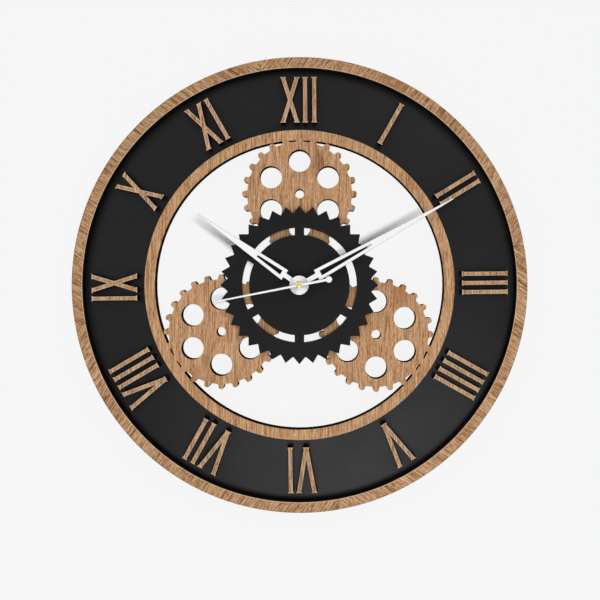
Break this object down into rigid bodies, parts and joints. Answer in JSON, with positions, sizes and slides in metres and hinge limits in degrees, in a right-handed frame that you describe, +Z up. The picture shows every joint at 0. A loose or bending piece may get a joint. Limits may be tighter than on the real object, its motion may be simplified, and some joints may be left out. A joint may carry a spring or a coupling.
{
  "type": "wall clock",
  "caption": "Round open-centre wall clock: black dial ring with raised wooden Roman numerals, fixed wooden gears, a black toothed disc and white hands on a quartz movement.",
  "frame": {"origin": "clock axis where it meets the wall, on the back of the movement's rear cover", "axes": "+Z up to XII, +Y into the wall along the clock axis, +X to the viewer's right"},
  "size_m": [0.4, 0.0326, 0.4],
  "materials": {
    "oak_board": "oak veneer, satin, dark cut edges",
    "black_board": "satin black paint",
    "white_hands": "white paint",
    "brass": "bright",
    "rubber": "matte",
    "plated_steel": "zinc plated",
    "black_plastic": "fine texture",
    "white_plastic": "moulded",
    "battery_jacket": "plain sleeve",
    "circuit_laminate": "solder mask",
    "chip_resin": "cast resin",
    "copper_wire": "enamelled copper winding",
    "magnet": "sintered"
  },
  "bodies": {
    "clock_frame": {"gear_frame": "oak_board", "outer_trim_1": "oak_board", "outer_trim_2": "oak_board", "outer_trim_3": "oak_board", "outer_trim_4": "oak_board", "numeral_01": "oak_board", "numeral_02": "oak_board", "numeral_03": "oak_board", "numeral_04": "oak_board", "numeral_05": "oak_board", "numeral_06": "oak_board", "numeral_07": "oak_board", "numeral_08": "oak_board", "numeral_09": "oak_board", "numeral_10": "oak_board", "numeral_11": "oak_board", "numeral_12": "oak_board", "base_ring": "black_board", "center_gear": "black_board", "hex_nut": "brass", "washer": "brass", "gasket": "rubber", "hanger": "plated_steel", "keyhole_plate": "plated_steel", "movement_case": "black_plastic", "rear_cover": "black_plastic", "battery": "battery_jacket", "positive_contact": "plated_steel", "negative_contact": "plated_steel", "circuit_board": "circuit_laminate", "driver_chip": "chip_resin", "quartz_crystal": "plated_steel", "coil": "copper_wire", "coil_bobbin": "white_plastic", "coil_core": "plated_steel", "stator": "plated_steel"},
    "second_arbor": {"second_wheel": "white_plastic", "second_hand": "white_hands", "second_hand_eyelet": "brass"},
    "intermediate": {"intermediate_wheel": "white_plastic"},
    "rotor": {"rotor_magnet": "magnet", "rotor_pinion": "white_plastic"},
    "third": {"third_wheel": "white_plastic"},
    "center_drive": {"center_wheel": "white_plastic"},
    "minute_pipe": {"minute_arbor": "brass", "minute_hand": "white_hands"},
    "motion_work": {"minute_wheel": "white_plastic", "setting_knob": "black_plastic"},
    "hour_pipe": {"hour_wheel": "white_plastic", "hour_hand": "white_hands"}
  },
  "joints": [
    {"name": "second_spin", "type": "hinge", "parent": "clock_frame", "child": "second_arbor", "pos_m": [0, 0, 0], "axis": [0, 1, 0], "continuous": true},
    {"name": "minute_spin", "type": "hinge", "parent": "clock_frame", "child": "minute_pipe", "pos_m": [0, 0, 0], "axis": [0, 1, 0], "continuous": true},
    {"name": "hour_spin", "type": "hinge", "parent": "clock_frame", "child": "hour_pipe", "pos_m": [0, 0, 0], "axis": [0, 1, 0], "continuous": true},
    {"name": "motion_spin", "type": "hinge", "parent": "clock_frame", "child": "motion_work", "pos_m": [0, 0, 0.012], "axis": [0, 1, 0], "continuous": true},
    {"name": "center_spin", "type": "hinge", "parent": "clock_frame", "child": "center_drive", "pos_m": [0, 0, 0], "axis": [0, 1, 0], "continuous": true},
    {"name": "third_spin", "type": "hinge", "parent": "clock_frame", "child": "third", "pos_m": [-0.01039, 0, 0.006], "axis": [0, 1, 0], "continuous": true},
    {"name": "intermediate_spin", "type": "hinge", "parent": "clock_frame", "child": "intermediate", "pos_m": [0.01083, 0, 0.00625], "axis": [0, 1, 0], "continuous": true},
    {"name": "rotor_spin", "type": "hinge", "parent": "clock_frame", "child": "rotor", "pos_m": [0.0188, 0, 0.0033], "axis": [0, 1, 0], "continuous": true}
  ],
  "couplings": [
    {"joint": "hour_spin", "follows": "minute_spin", "ratio": 0.083333},
    {"joint": "motion_spin", "follows": "minute_spin", "ratio": -0.33333},
    {"joint": "intermediate_spin", "follows": "second_spin", "ratio": -6},
    {"joint": "rotor_spin", "follows": "second_spin", "ratio": 30},
    {"joint": "third_spin", "follows": "second_spin", "ratio": -0.13333},
    {"joint": "center_spin", "follows": "second_spin", "ratio": 0.016667}
  ]
}
